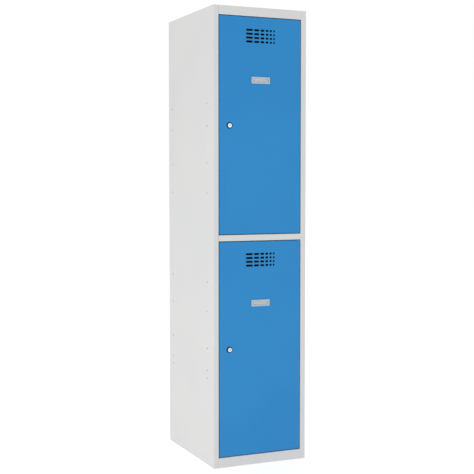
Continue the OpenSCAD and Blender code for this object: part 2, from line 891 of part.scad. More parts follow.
left_side_panel();
right_side_panel();
back_panel();
top_panel();
top_front_rail();
divider_rail();
divider_shelf();
divider_rivets();
base_panel();
bottom_front_rail();
front_base_channel();
rear_base_channel();
foot_rivet_nuts();
front_left_foot();
front_right_foot();
rear_left_foot();
rear_right_foot();
hinge_bushes();
door_bumpers();
upper_door_panel();
upper_door_stiffener();
upper_hinge_brackets();
upper_door_top_pin();
upper_door_bottom_pin();
upper_card_holder();
upper_card_cover();
upper_card();
upper_lock_bezel();
upper_lock_body();
upper_lock_nut();
upper_lock_plug();
upper_lock_cam();
upper_cam_screw();
upper_coat_rail();
upper_rail_brackets();
upper_left_hook();
upper_right_hook();
lower_door_panel();
lower_door_stiffener();
lower_hinge_brackets();
lower_door_top_pin();
lower_door_bottom_pin();
lower_card_holder();
lower_card_cover();
lower_card();
lower_lock_bezel();
lower_lock_body();
lower_lock_nut();
lower_lock_plug();
lower_lock_cam();
lower_cam_screw();
lower_coat_rail();
lower_rail_brackets();
lower_left_hook();
lower_right_hook();
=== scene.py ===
# School locker: folded sheet-steel carcass, two doors one above the other, and their fittings.
# Each section below makes one piece, or a group of like pieces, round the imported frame.
import json
from math import pi, radians
import bmesh
import bpy
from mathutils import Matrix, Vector


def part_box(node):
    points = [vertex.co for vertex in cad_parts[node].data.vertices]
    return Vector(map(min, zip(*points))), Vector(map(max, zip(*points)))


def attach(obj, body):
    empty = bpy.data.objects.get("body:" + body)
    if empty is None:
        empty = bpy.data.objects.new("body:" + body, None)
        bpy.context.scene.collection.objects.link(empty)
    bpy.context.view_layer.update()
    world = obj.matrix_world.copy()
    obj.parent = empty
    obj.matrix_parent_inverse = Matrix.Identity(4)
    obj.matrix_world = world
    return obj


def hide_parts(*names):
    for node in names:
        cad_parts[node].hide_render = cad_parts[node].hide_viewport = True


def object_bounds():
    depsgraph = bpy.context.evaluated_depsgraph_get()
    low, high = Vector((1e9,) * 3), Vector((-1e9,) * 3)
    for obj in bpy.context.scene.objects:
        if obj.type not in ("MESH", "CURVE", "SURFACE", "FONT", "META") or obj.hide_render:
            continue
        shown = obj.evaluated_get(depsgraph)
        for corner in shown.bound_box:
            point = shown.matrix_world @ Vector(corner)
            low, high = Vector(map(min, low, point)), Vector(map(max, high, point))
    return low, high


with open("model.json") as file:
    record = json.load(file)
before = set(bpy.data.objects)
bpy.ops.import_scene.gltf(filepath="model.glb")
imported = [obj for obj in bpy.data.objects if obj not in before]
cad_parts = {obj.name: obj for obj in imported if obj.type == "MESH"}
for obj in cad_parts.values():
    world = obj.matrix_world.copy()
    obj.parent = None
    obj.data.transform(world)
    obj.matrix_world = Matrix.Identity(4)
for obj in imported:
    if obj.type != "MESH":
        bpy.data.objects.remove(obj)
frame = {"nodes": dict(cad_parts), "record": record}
cad_low, cad_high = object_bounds()
record = frame["record"]


# ---- Camera, lights and floor ----
# The camera stands left of the locker and looks slightly down. A white room gives most of the
# light, with a large lamp on the left and a small one in front on the right. The floor is pale.
eye = (-1.7121, -3.9154, 1.1260)
turned_right = radians(23.7294)
turned_down = radians(2.7427)
sensor_width = 36.0
focal_length = 77.99
lens_shift = -0.015
bpy.ops.object.camera_add(location=eye, rotation=(pi / 2 - turned_down, 0, -turned_right))
camera = bpy.context.object
camera.data.sensor_width = sensor_width
camera.data.lens = focal_length
camera.data.shift_y = lens_shift
bpy.context.scene.camera = camera
bpy.context.scene.view_settings.view_transform = "Standard"


def lamp(name, place, target, size, power):
    """A large soft lamp that faces a target."""
    bpy.ops.object.light_add(type="AREA", location=place)
    light = bpy.context.object
    light.name = name
    light.rotation_euler = (Vector(target) - Vector(place)).to_track_quat("-Z", "Y").to_euler()
    light.data.shape = "SQUARE"
    light.data.size = size
    light.data.energy = power


middle = (cad_low + cad_high) / 2
lamp("left_lamp", (-3.4, -1.6, 1.4), middle, size=2.4, power=27)
lamp("front_lamp", (1.43, -3.87, 1.51), middle, size=0.7, power=3)


class Wire:
    """A value in a material's nodes. Arithmetic on it adds Math nodes; node() adds any other node."""

    def __init__(self, tree, socket=None):
        self.tree = tree
        self.socket = socket

    def node(self, kind, settings={}, inputs={}, output=0):
        made = self.tree.nodes.new(kind)
        for name, value in settings.items():
            setattr(made, name, value)
        for name, value in inputs.items():
            if isinstance(value, Wire):
                self.tree.links.new(value.socket, made.inputs[name])
            else:
                made.inputs[name].default_value = value
        return Wire(self.tree, made.outputs[output])

    def maths(self, operation, *values):
        return self.node("ShaderNodeMath", {"operation": operation}, dict(enumerate(values)))

    def __add__(self, other):
        return self.maths("ADD", self, other)

    def __sub__(self, other):
        return self.maths("SUBTRACT", self, other)

    def __rsub__(self, other):
        return self.maths("SUBTRACT", other, self)

    def __mul__(self, other):
        return self.maths("MULTIPLY", self, other)

    __radd__ = __add__
    __rmul__ = __mul__

    def step(self, start, end):
        """0 up to start, 1 from end on, and a smooth rise between."""
        return self.node(
            "ShaderNodeMapRange", {"interpolation_type": "SMOOTHSTEP"}, {0: self, 1: start, 2: end}
        )

    def blend(self, first, second):
        """The first colour where this value is 0, the second where it is 1."""
        return self.node("ShaderNodeMix", {"data_type": "RGBA"}, {0: self, 6: first, 7: second}, 2)

    def noise(self, scale, detail=2.0):
        """Noise over this place, about 0.5 on average; scale is the number of lumps in a metre."""
        values = {"Vector": self, "Scale": scale, "Detail": detail}
        return self.node("ShaderNodeTexNoise", {}, values)

    def stretched(self, x, y, z):
        """This place with each axis multiplied."""
        return self.node("ShaderNodeVectorMath", {"operation": "MULTIPLY"}, {0: self, 1: (x, y, z)})

    def bump(self):
        """A surface direction for a relief whose height in metres is this value."""
        return self.node("ShaderNodeBump", {}, {"Strength": 1.0, "Distance": 1.0, "Height": self})


def tint(red, green, blue):
    """A linear colour from the 0 to 255 values of a colour card, by the standard screen curve."""
    values = [part / 255 for part in (red, green, blue)]
    return (*[v / 12.92 if v < 0.04045 else ((v + 0.055) / 1.055) ** 2.4 for v in values], 1)


def finish(name, **constants):
    """A material with constants on its shader. Returns it, the place on the piece and the shader."""
    made = bpy.data.materials.new(name)
    made.use_nodes = True
    shader = made.node_tree.nodes["Principled BSDF"]
    for key, value in constants.items():
        shader.inputs[key.replace("_", " ")].default_value = value
    place = Wire(made.node_tree).node("ShaderNodeTexCoord", output="Object")
    return made, place, shader


def feed(shader, **wires):
    """Joins worked-out values to the shader's inputs."""
    for key, wire in wires.items():
        shader.id_data.links.new(wire.socket, shader.inputs[key.replace("_", " ")])


white = (1, 1, 1, 1)
room_light = 0.66
room_seen = 1.0
floor_glow = 0.46
floor_tones = (0.93, 0.93, 0.93, 1), (0.95, 0.95, 0.95, 1)
floor_size = 60
floor_drop = 0.0005
room = bpy.data.worlds.new("white_room")
bpy.context.scene.world = room
room.use_nodes = True
rays = Wire(room.node_tree)
lit = rays.node("ShaderNodeBackground", {}, {"Color": white, "Strength": room_light})
seen = rays.node("ShaderNodeBackground", {}, {"Color": white, "Strength": room_seen})
straight = rays.node("ShaderNodeLightPath", output="Is Camera Ray")
both = rays.node("ShaderNodeMixShader", {}, {0: straight, 1: lit, 2: seen})
room.node_tree.links.new(both.socket, room.node_tree.nodes["World Output"].inputs["Surface"])

pale_floor, place, shader = finish(
    "pale_floor",
    Roughness=0.8,
    Specular_IOR_Level=0.2,
    Emission_Color=white,
    Emission_Strength=floor_glow,
)
feed(shader, Base_Color=place.noise(1.5).step(0.3, 0.7).blend(*floor_tones))
bpy.ops.mesh.primitive_plane_add(size=floor_size, location=(0, 0, cad_low.z - floor_drop))
floor = bpy.context.object
floor.name = "floor"
floor.data.materials.append(pale_floor)


# ---- Side panels ----
# Each is one sheet of 1 mm steel, folded on a press: a rear fold, the side, the front post and
# a return that ends in the lip the doors close on. It is punched for shelves, joining screws
# and rivets, and spot-welded to the back panel through its rear fold.
peel_depth = 0.00003
wave_depth = 0.0004


def powder_coat(name, colour, thick):
    """Baked powder: satin, with a fine orange peel, slow changes of tone and faint wipe marks."""
    made, place, shader = finish(name, Specular_IOR_Level=0.35)
    cloud = place.noise(2.3).step(0.35, 0.65)
    grain = place.noise(900, 3)
    wiped = place.stretched(1, 1, 0.3).noise(9, 4).step(0.45, 0.75)
    peel = place.noise(380, 1) * peel_depth
    wave = place.noise(14, 1) * wave_depth
    feed(
        shader,
        Base_Color=(cloud * 0.8 + grain.step(0.62, 0.78) * 0.2).blend(colour, thick),
        Roughness=0.40 + wiped * 0.06 + (grain - 0.5) * 0.08,
        Normal=(peel + wave).bump(),
    )
    return made


grey_coat = powder_coat("grey_powder_coat", tint(216, 216, 215), tint(212, 213, 213))


def block(name, one, other):
    """A box between two corners, with its place in its mesh."""
    low, high = [Vector([end(pair) for pair in zip(one, other)]) for end in (min, max)]
    bpy.ops.object.select_all(action="DESELECT")
    bpy.ops.mesh.primitive_cube_add(size=1, location=(low + high) / 2, scale=high - low)
    bpy.ops.object.transform_apply(location=True, rotation=True, scale=True)
    bpy.context.object.name = name
    return bpy.context.object


def bar(name, start, end, radius, sides=32):
    """A round bar from one point to another, with its place in its mesh."""
    run = Vector(end) - Vector(start)
    bpy.ops.object.select_all(action="DESELECT")
    bpy.ops.mesh.primitive_cylinder_add(
        vertices=sides,
        radius=radius,
        depth=run.length,
        location=(Vector(start) + Vector(end)) / 2,
        rotation=run.to_track_quat("Z", "Y").to_euler(),
    )
    bpy.ops.object.transform_apply(location=True, rotation=True, scale=True)
    bpy.context.object.name = name
    return bpy.context.object


turn_to_face = {"-x": (0, -pi / 2, 0), "+x": (0, pi / 2, 0), "-y": (pi / 2, 0, 0)}


def blank(name, low, high, facing):
    """A flat upright sheet, still without thickness, between two corners and facing one way."""
    low, high = Vector(low), Vector(high)
    size = high - low
    bpy.ops.object.select_all(action="DESELECT")
    bpy.ops.mesh.primitive_plane_add(size=1, location=(low + high) / 2, rotation=turn_to_face[facing])
    bpy.context.object.scale = (size.z, size.y, 1) if facing[1] == "x" else (size.x, size.z, 1)
    bpy.ops.object.transform_apply(location=True, rotation=True, scale=True)
    bpy.context.object.name = name
    return bpy.context.object


tiny = 1e-5
merge_reach = 1e-6


def near(value, target):
    return abs(value - target) < tiny


def edit(piece):
    """Opens a piece's mesh for editing; done() closes it."""
    bpy.ops.object.select_all(action="DESELECT")
    piece.select_set(True)
    bpy.context.view_layer.objects.active = piece
    bpy.ops.object.mode_set(mode="EDIT")


def done():
    bpy.ops.object.mode_set(mode="OBJECT")


def choose_edges(piece, test):
    """Selects the edges that pass a test on their middle, their run and the edge itself."""
    mesh = bmesh.from_edit_mesh(piece.data)
    bpy.ops.mesh.select_mode(type="EDGE")
    bpy.ops.mesh.select_all(action="DESELECT")
    for edge in mesh.edges:
        start, end = [corner.co for corner in edge.verts]
        edge.select_set(test((start + end) / 2, end - start, edge))
    mesh.select_flush_mode()
    bmesh.update_edit_mesh(piece.data)


def choose_faces(piece, test):
    """Selects the faces that pass a test on their middle."""
    mesh = bmesh.from_edit_mesh(piece.data)
    bpy.ops.mesh.select_mode(type="FACE")
    bpy.ops.mesh.select_all(action="DESELECT")
    for face in mesh.faces:
        face.select_set(test(face.calc_center_median()))
    bmesh.update_edit_mesh(piece.data)


def fold(piece, test, *moves):
    """Turns over the free edges whose middle passes the test: one extrusion for each move."""
    edit(piece)
    choose_edges(piece, lambda middle, run, edge: edge.is_boundary and test(middle))
    for move in moves:
        bpy.ops.mesh.extrude_edges_move(TRANSFORM_OT_translate={"value": move})
    done()


def apply(piece, kind, **settings):
    """Adds a modifier with its settings and applies it."""
    modifier = piece.modifiers.new(kind.lower(), kind)
    for name, value in settings.items():
        setattr(modifier, name, value)
    bpy.ops.object.select_all(action="DESELECT")
    piece.select_set(True)
    bpy.context.view_layer.objects.active = piece
    bpy.ops.object.modifier_apply(modifier=modifier.name)


def press(piece):
    """Gives a folded blank its bend radii and the thickness of the sheet."""
    bend = {"segments": 4, "limit_method": "ANGLE", "angle_limit": radians(60)}
    apply(piece, "BEVEL", width=2 * sheet, **bend)
    edit(piece)
    bpy.ops.mesh.select_all(action="SELECT")
    bpy.ops.mesh.remove_doubles(threshold=merge_reach)
    done()
    apply(piece, "SOLIDIFY", thickness=sheet, offset=-1, use_even_offset=True)


def joined(name, *pieces):
    """Several meshes as one piece."""
    bpy.ops.object.select_all(action="DESELECT")
    for piece in pieces:
        piece.select_set(True)
    bpy.context.view_layer.objects.active = pieces[0]
    if len(pieces) > 1:
        bpy.ops.object.join()
    pieces[0].name = name
    return pieces[0]


def cut(piece, *tools):
    """Cuts the tools out of the piece; the tools are used up."""
    tool = joined("tool", *tools)
    apply(piece, "BOOLEAN", operation="DIFFERENCE", solver="EXACT", object=tool)
    bpy.data.objects.remove(tool)


def soften(piece, width):
    """Rounds the sharp edges of a piece."""
    apply(piece, "BEVEL", width=width, segments=2, limit_method="ANGLE", angle_limit=radians(50))


def smooth(piece):
    """Shades curved faces smoothly while flat ones stay flat."""
    bpy.ops.object.select_all(action="DESELECT")
    piece.select_set(True)
    bpy.context.view_layer.objects.active = piece
    bpy.ops.object.shade_smooth_by_angle(angle=radians(40))
    apply(piece, "WEIGHTED_NORMAL", keep_sharp=True)


body_of = {node: body for body, nodes in record["behaviour"]["bodies"].items() for node in nodes}


def stands_for(piece, node, coat):
    """The finished piece takes the place of a CAD node: its body, its finish and its material."""
    piece.data.materials.clear()
    piece.data.materials.append(coat)
    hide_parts(node)
    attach(piece, body_of[node])


sheet = 0.001
rail_low, rail_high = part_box("top_front_rail")
post_end = rail_high.x
lip_front = rail_high.y - sheet
lip_back = rail_high.y
lip_end = -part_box("left_side_panel")[1].x
rear_fold = 0.015
hole_radius = 0.003
punch_reach = 0.003
rivet_low, rivet_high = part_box("divider_rivets")
rivet_radius = 0.0054
bumper_low, bumper_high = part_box("door_bumpers")
bumper_radius = (bumper_high.x - bumper_low.x) / 2
bumper_x = bumper_low.x + bumper_radius
stem_radius = 0.002
weld_radius = 0.003
weld_depth = 0.00025
weld_pitch = 0.1
mm_in_m = 1000


def bumper_heights():
    """Heights of the four bumpers: the same distance from both ends of each door."""
    end = bumper_low.z + bumper_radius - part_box("lower_door_panel")[0].z
    for level in ("lower", "upper"):
        low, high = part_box(level + "_door_panel")
        yield low.z + end
        yield high.z - end


def punched_holes(side):
    """Centres of the holes in one side panel: the mounts, and those that the rivets fill."""
    for mount in record["mounts"]:
        if mount["kind"] == "bolt_pattern" and mount["axis"][0] == side:
            y, z = mount["pos_m"][1:]
            half_y = mount["dims"]["spacing_x_mm"] / mm_in_m / 2
            half_z = mount["dims"].get("spacing_y_mm", 0) / mm_in_m / 2
            # A set, so that a pattern of one row gives each hole once
            for height in {z - half_z, z + half_z}:
                yield y - half_y, height
                yield y + half_y, height
    for y in (rivet_low.y + rivet_radius, rivet_high.y - rivet_radius):
        yield y, (rivet_low.z + rivet_high.z) / 2


def side_panel(name, node, side):
    """Folds, cuts and punches one side; side is -1 for the left panel and 1 for the right one."""
    low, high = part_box(node)
    outside = low.x if side < 0 else high.x
    inside = side * post_end
    facing = "-x" if side < 0 else "+x"
    panel = blank(name, (outside, low.y, low.z), (outside, high.y, high.z), facing)
    fold(
        panel,
        lambda middle: near(middle.y, low.y),
        (inside - outside, 0, 0),
        (0, lip_front - low.y, 0),
        (side * lip_end - inside, 0, 0),
    )
    fold(panel, lambda middle: near(middle.y, high.y), (-side * rear_fold, 0, 0))
    press(panel)
    # Room for the top panel: behind the face, the folds end below the top edge
    ledge = block(
        "ledge_tool",
        (outside - side * sheet, low.y + sheet, high.z - 2 * sheet),
        (side * lip_end - side * sheet, high.y - sheet, high.z + sheet),
    )
    tools = [ledge]
    for y, z in punched_holes(side):
        start = (outside - side * punch_reach, y, z)
        end = (outside + side * punch_reach, y, z)
        tools.append(bar("hole_tool", start, end, hole_radius))
    if side < 0:
        for z in bumper_heights():
            start = (bumper_x, lip_back - punch_reach, z)
            end = (bumper_x, lip_back + punch_reach, z)
            tools.append(bar("stem_tool", start, end, stem_radius))
    # Shallow dimples where the rear fold is spot-welded
    welds = int((high.z - low.z) / weld_pitch) - 1
    for number in range(welds):
        bpy.ops.mesh.primitive_uv_sphere_add(
            segments=16,
            ring_count=8,
            radius=1,
            location=(outside - side * rear_fold / 2, high.y, low.z + weld_pitch * (number + 1)),
            scale=(weld_radius, weld_depth, weld_radius),
        )
        bpy.ops.object.transform_apply(location=True, rotation=True, scale=True)
        tools.append(bpy.context.object)
    cut(panel, *tools)
    smooth(panel)
    stands_for(panel, node, grey_coat)


side_panel("left_side", "left_side_panel", -1)
side_panel("right_side", "right_side_panel", 1)


# ---- Front rails ----
# Short folded strips of the same sheet, welded between the posts: a face, a flange behind each
# edge and a lip that the doors close on. The hinge bushes are pushed into holes in the flanges.
bush_low, bush_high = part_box("hinge_bushes")
hinge_x = (bush_low.x + bush_high.x) / 2
hinge_y = (bush_low.y + bush_high.y) / 2
bush_hole_radius = 0.0041
lip_width = 0.012
flange_depth = lip_front - rail_low.y
behind = (0, flange_depth, 0)
lip_up = (0, 0, lip_width)
lip_down = (0, 0, -lip_width)


def front_rail(name, node, bottom, top, top_moves, bottom_moves):
    """A rail whose face runs from bottom to top; the moves fold its flanges and lips."""
    low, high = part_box(node)
    rail = blank(name, (low.x, low.y, bottom), (high.x, low.y, top), "-y")
    fold(rail, lambda middle: near(middle.z, top), *top_moves)
    if bottom_moves:
        fold(rail, lambda middle: near(middle.z, bottom), *bottom_moves)
    press(rail)
    start = (hinge_x, hinge_y, low.z - sheet)
    end = (hinge_x, hinge_y, high.z - 2 * sheet)
    tools = [bar("bush_tool", start, end, bush_hole_radius)]
    # The rail's lip ends where the posts' lips begin
    for side in (-1, 1):
        tools.append(
            block(
                "end_tool",
                (side * lip_end, lip_front - sheet, low.z - sheet),
                (side * (post_end + sheet), lip_back + sheet, high.z + sheet),
            )
        )
    cut(rail, *tools)
    smooth(rail)
    stands_for(rail, node, grey_coat)


upper_folds = [behind, lip_up]
lower_folds = [behind, lip_down]
short_flange = [(0, flange_depth - sheet, 0)]
low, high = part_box("top_front_rail")
front_rail("top_rail", "top_front_rail", low.z + lip_width, high.z, short_flange, lower_folds)
low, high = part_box("divider_rail")
bottom, top = low.z + lip_width, high.z - lip_width
front_rail("middle_rail", "divider_rail", bottom, top, upper_folds, lower_folds)
low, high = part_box("bottom_front_rail")
front_rail("bottom_rail", "bottom_front_rail", low.z, high.z - lip_width, upper_folds, [])


# ---- Inner sheets of the carcass ----
# The back, the top, the shelf between the compartments, the floor and the two channels under it
# keep their CAD shape: sheets with folded edges, coated like the rest.
def coat_nodes(coat, *nodes):
    """Gives CAD nodes that keep their shape a material."""
    for node in nodes:
        for slot in frame["nodes"][node].material_slots:
            slot.material = coat


coat_nodes(
    grey_coat,
    "back_panel",
    "top_panel",
    "divider_shelf",
    "divider_rivets",
    "base_panel",
    "front_base_channel",
    "rear_base_channel",
)


# ---- Doors ----
# One sheet each: a flat face with all four edges folded back and then in, punched with rows of
# vent slots that get shorter away from the lock, and with round holes for the pins and the lock.
def slab(name, one, other, corner, segments=4):
    """An upright plate across Y whose four corners are rounded."""
    piece = block(name, one, other)
    edit(piece)
    choose_edges(piece, lambda middle, run, edge: abs(run.y) > 0.9 * run.length)
    bpy.ops.mesh.bevel(offset=corner, segments=segments)
    done()
    return piece


blue_coat = powder_coat("blue_powder_coat", tint(30, 135, 200), tint(26, 130, 196))
door_lip = 0.012
slot_height = 0.008
slot_corner = 0.0018
slot_gap = 0.006
row_pitch = 0.015
first_row_drop = 0.050
rows = 4
slots_in_row = 6
longest_slot = 0.0285
slot_shrink = 0.75
slot_lengths = [longest_slot * slot_shrink**number for number in range(slots_in_row)]
slot_tool_reach = 0.01
pin_radius = 0.003
barrel_radius = 0.008


def vent_tools(door_high):
    """One plate for each slot of a door's vents."""
    row_width = sum(slot_lengths) + slot_gap * (len(slot_lengths) - 1)
    for row in range(rows):
        z = door_high.z - first_row_drop - row * row_pitch
        x = -row_width / 2
        for length in slot_lengths:
            near_corner = (x, cad_low.y, z - slot_height / 2)
            far_corner = (x + length, lip_front - slot_tool_reach, z + slot_height / 2)
            yield slab("slot_tool", near_corner, far_corner, slot_corner)
            x += length + slot_gap


def door(name, node, lock_node):
    """Folds a door's four edges back, draws their free ends in as a lip, and punches the face."""
    low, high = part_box(node)
    width, height = high.x - low.x, high.z - low.z
    centre = (low + high) / 2
    shell = blank(name, (low.x, low.y, low.z), (high.x, low.y, high.z), "-y")
    fold(shell, lambda middle: True, (0, high.y - low.y, 0), (0, 0, 0))
    edit(shell)
    choose_edges(shell, lambda middle, run, edge: edge.is_boundary)
    bpy.ops.transform.resize(
        value=(1 - 2 * door_lip / width, 1, 1 - 2 * door_lip / height),
        center_override=(centre.x, high.y, centre.z),
    )
    done()
    press(shell)
    lock_low, lock_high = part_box(lock_node)
    lock = (lock_low + lock_high) / 2
    tools = list(vent_tools(high))
    start = (lock.x, low.y - sheet, lock.z)
    end = (lock.x, low.y + 2 * sheet, lock.z)
    tools.append(bar("lock_tool", start, end, barrel_radius))
    for z in (low.z, high.z):
        start = (hinge_x, hinge_y, z - 2 * sheet)
        end = (hinge_x, hinge_y, z + 2 * sheet)
        tools.append(bar("pin_tool", start, end, pin_radius))
    cut(shell, *tools)
    smooth(shell)
    stands_for(shell, node, blue_coat)


for level in ("upper", "lower"):
    door(level + "_door_shell", level + "_door_panel", level + "_lock_bezel")
    coat_nodes(blue_coat, level + "_door_stiffener")


# ---- Zinc-plated fittings ----
# Small pressed and turned steel pieces: pins, corner brackets and rivet nuts, bright zinc plated
# with a faint cloudy spangle and fine drawing marks.
zinc, place, shader = finish("zinc_plate", Metallic=1.0)
spangle = place.noise(160, 2)
feed(
    shader,
    Base_Color=spangle.step(0.3, 0.7).blend((0.55, 0.56, 0.58, 1), (0.68, 0.69, 0.71, 1)),
    Roughness=0.28 + spangle * 0.12 + place.stretched(1, 1, 0.1).noise(1500, 1) * 0.08,
    Normal=(place.noise(700, 2) * 0.00001).bump(),
)
coat_nodes(zinc, "foot_rivet_nuts")
for level in ("upper", "lower"):
    coat_nodes(zinc, level + "_hinge_brackets", level + "_door_top_pin", level + "_door_bottom_pin")


# ---- Hinge bushes ----
# Four black nylon bushes, moulded with a flange, are pushed into the rails. The doors' pins turn
# in them, and the flanges carry the doors' weight.
nylon, place, shader = finish("nylon", Roughness=0.5)
nylon_tones = (0.018, 0.018, 0.019, 1), (0.03, 0.03, 0.031, 1)
feed(
    shader,
    Base_Color=place.noise(300).step(0.3, 0.7).blend(*nylon_tones),
    Normal=(place.noise(1200) * 0.00001).bump(),
)
coat_nodes(nylon, "hinge_bushes")


# ---- Door bumpers ----
# Four black rubber buttons on the lip at the lock side; each has a stem that is pushed through a
# hole in the lip and a small head behind it.
def turned(name, start, along, profile, sides=48):
    """A round piece: a closed or axis-to-axis profile of (radius, distance along), spun once.

    The profile is drawn out from one vertex, which is a small plane merged to its middle.
    """
    start, along = Vector(start), Vector(along).normalized()
    out = along.orthogonal().normalized()
    points = [start + out * radius + along * distance for radius, distance in profile]
    bpy.ops.object.select_all(action="DESELECT")
    bpy.ops.mesh.primitive_plane_add(size=sheet)
    piece = bpy.context.object
    piece.name = name
    bpy.ops.object.mode_set(mode="EDIT")
    bpy.ops.mesh.select_mode(type="VERT")
    bpy.ops.mesh.select_all(action="SELECT")
    bpy.ops.mesh.merge(type="CENTER")
    bpy.ops.transform.translate(value=points[0])
    for last, point in zip(points, points[1:]):
        bpy.ops.mesh.extrude_vertices_move(TRANSFORM_OT_translate={"value": point - last})
    bpy.ops.mesh.select_all(action="SELECT")
    bpy.ops.mesh.spin(steps=sides, angle=2 * pi, center=start, axis=along)
    bpy.ops.mesh.select_all(action="SELECT")
    bpy.ops.mesh.remove_doubles(threshold=merge_reach)
    bpy.ops.mesh.normals_make_consistent(inside=False)
    done()
    return piece


rubber, place, shader = finish("bumper_rubber", Roughness=0.75)
rubber_tones = (0.025, 0.025, 0.025, 1), (0.05, 0.05, 0.05, 1)
feed(
    shader,
    Base_Color=place.noise(500).step(0.3, 0.7).blend(*rubber_tones),
    Normal=(place.noise(1500) * 0.00002).bump(),
)
stand = lip_front - bumper_low.y
button = bumper_high.y - lip_back
button_radius = 0.003
bumper_edge = 0.0003
bumpers = []
for z in bumper_heights():
    profile = [
        (0, 0),
        (bumper_radius * 0.7, 0),
        (bumper_radius * 0.92, stand * 0.22),
        (bumper_radius, stand * 0.5),
        (bumper_radius, stand),
        (stem_radius, stand),
        (stem_radius, stand + sheet),
        (button_radius, stand + sheet),
        (button_radius * 0.6, stand + sheet + button),
        (0, stand + sheet + button),
    ]
    bumpers.append(turned("bumper", (bumper_x, bumper_low.y, z), (0, 1, 0), profile, 32))
bumpers = joined("rubber_bumpers", *bumpers)
soften(bumpers, bumper_edge)
smooth(bumpers)
stands_for(bumpers, "door_bumpers", rubber)


# ---- Card holders ----
# A light grey moulded frame on each door, with a raised rim and a window. Four pegs hold it. Its
# pocket is open at the hinge side: a blank card slides in there behind a clear sheet.
def moulded(name, colour, other, roughness, shine=0.5):
    """Moulded plastic: two close tones in soft clouds, with a fine grain."""
    made, place, shader = finish(name, Specular_IOR_Level=shine)
    grain = place.noise(2500, 1)
    feed(
        shader,
        Base_Color=place.noise(60, 3).step(0.3, 0.7).blend(colour, other),
        Roughness=roughness + (grain - 0.5) * 0.1,
        Normal=(grain * 0.000012).bump(),
    )
    return made


holder_grey = moulded("holder_plastic", tint(170, 198, 214), tint(163, 191, 208), 0.38)
paper, place, shader = finish("card", Roughness=0.85)
fibres = place.stretched(1, 1, 3).noise(1400, 3)
feed(
    shader,
    Base_Color=fibres.step(0.35, 0.7).blend(tint(196, 184, 174), tint(187, 174, 163)),
    Normal=(fibres * 0.00001).bump(),
)
clear, place, shader = finish("clear_sheet", Base_Color=(0.92, 0.95, 0.97, 1))
scuffs = place.stretched(1, 1, 0.2).noise(220, 3).step(0.55, 0.75)
feed(shader, Alpha=0.12 + scuffs * 0.06, Roughness=0.10 + scuffs * 0.15)
border = 0.006
rim = 0.0018
rim_high = 0.0006
pocket_edge = 0.0035
pocket_depth = 0.0015
holder_corner = 0.002
holder_edge = 0.0002
peg_radius = 0.0012
peg_in = 0.011
peg_edge = 0.0003
card_corner = 0.001
notch_out = 0.001
notch_radius = 0.0035


def card_holder(level):
    """The frame of one door's card, with its tray, window, side pocket and pegs."""
    low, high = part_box(level + "_card_holder")
    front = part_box(level + "_door_panel")[0].y
    holder = slab(level + "_label_frame", low, (high.x, front, high.z), holder_corner)
    tray = slab(
        "tray_tool",
        (low.x + rim, low.y - sheet, low.z + rim),
        (high.x - rim, low.y + rim_high, high.z - rim),
        holder_corner / 2,
    )
    cut(holder, tray)
    window = slab(
        "window_tool",
        (low.x + border, low.y - sheet, low.z + border),
        (high.x - border, front + sheet, high.z - border),
        holder_corner / 2,
    )
    pocket = block(
        "pocket_tool",
        (low.x + pocket_edge, front - pocket_depth, low.z + pocket_edge),
        (high.x + sheet, front + sheet, high.z - pocket_edge),
    )
    cut(holder, window)
    cut(holder, pocket)
    soften(holder, holder_edge)
    pegs = []
    for x in (low.x + peg_in, high.x - peg_in):
        for z in (low.z + pocket_edge / 2, high.z - pocket_edge / 2):
            pegs.append(bar("peg", (x, front - sheet / 2, z), (x, high.y, z), peg_radius, 16))
            soften(pegs[-1], peg_edge)
    holder = joined(level + "_label_frame", holder, *pegs)
    smooth(holder)
    stands_for(holder, level + "_card_holder", holder_grey)


def pocket_sheet(name, node, coat):
    """A thin plate in the pocket, with round corners and a finger notch at its open end."""
    low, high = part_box(node)
    plate = slab(name, low, high, card_corner)
    x = high.x + notch_out
    z = (low.z + high.z) / 2
    cut(plate, bar("notch_tool", (x, low.y - sheet, z), (x, high.y + sheet, z), notch_radius))
    smooth(plate)
    stands_for(plate, node, coat)


for level in ("upper", "lower"):
    card_holder(level)
    pocket_sheet(level + "_name_card", level + "_card", paper)
    pocket_sheet(level + "_clear_sheet", level + "_card_cover", clear)


# ---- Locks ----
# A cam lock in each door: a black plastic ring under a chromed head, a threaded barrel held by a
# nut behind the sheet, a plug that the key turns, and a flat cam screwed to the plug's square end.
black_tones = (0.006, 0.006, 0.007, 1), (0.012, 0.012, 0.013, 1)
black_plastic = moulded("black_plastic", *black_tones, roughness=0.5, shine=0.15)
chrome, place, shader = finish("chrome_plate", Metallic=1.0)
haze = place.noise(90, 3)
feed(
    shader,
    Base_Color=haze.step(0.3, 0.7).blend((0.86, 0.87, 0.88, 1), (0.80, 0.81, 0.83, 1)),
    Roughness=0.08 + haze * 0.10 + place.noise(1800, 1) * 0.04,
    Normal=(place.noise(500, 2) * 0.000004).bump(),
)
ring_edge = 0.0006
head_edge = 0.0009
bore_edge = 0.0003
play = 0.00005
thread_pitch = 0.001
thread_depth = 0.0004
plated_edge = 0.0004
plug_edge = 0.0008
drive_share = 0.62
square_lead = 0.0005
key_thick = 0.0018
key_wide = 0.0065
key_deep = 0.018
ward_step = 0.0008
funnel_radius = 0.0032
cam_flat = 0.0005
shank_play = 0.0003
recess_long = 0.0045
recess_thin = 0.0009


def thread(radius, start, end, pitch, depth):
    """Profile points of a thread's crests and roots along a bar."""
    points = []
    for number in range(int((end - start) / pitch)):
        at = start + number * pitch
        points += [(radius - depth, at), (radius, at + pitch / 2)]
    return points + [(radius - depth, end)]


def fuse(piece, other):
    """Makes another mesh a part of the piece's solid; the other is used up."""
    apply(piece, "BOOLEAN", operation="UNION", solver="EXACT", object=other)
    bpy.data.objects.remove(other)


def lock_centre(level):
    """The middle of a lock's ring, on the line that its round pieces share."""
    low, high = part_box(level + "_lock_bezel")
    return (low + high) / 2


